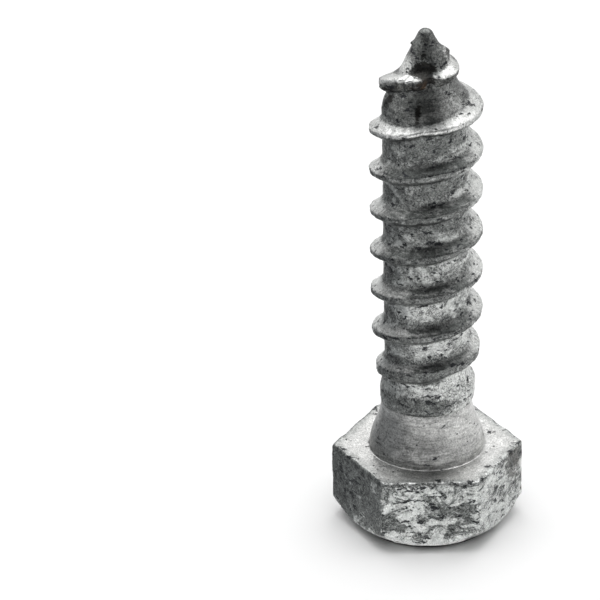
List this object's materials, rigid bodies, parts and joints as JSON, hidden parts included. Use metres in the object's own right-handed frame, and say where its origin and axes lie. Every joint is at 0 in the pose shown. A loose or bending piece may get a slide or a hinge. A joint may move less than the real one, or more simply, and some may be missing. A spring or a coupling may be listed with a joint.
{
  "type": "lag screw",
  "caption": "Hex head lag screw with a flared neck, coarse right-hand wood thread and gimlet point, hot-dip galvanised.",
  "frame": {"origin": "centre of the head's flat free face, which the screw stands on", "axes": "+Z along the shank from the head to the point, +X through a corner of the hexagon, +Y square to two wrench flats"},
  "size_m": [0.0164, 0.0142, 0.045],
  "materials": {
    "galvanised_steel": "hot-dip galvanised zinc, dull and mottled, with soot-grey stains and a little rust at the point"
  },
  "bodies": {
    "root": {"lag_screw": "galvanised_steel"}
  },
  "joints": []
}
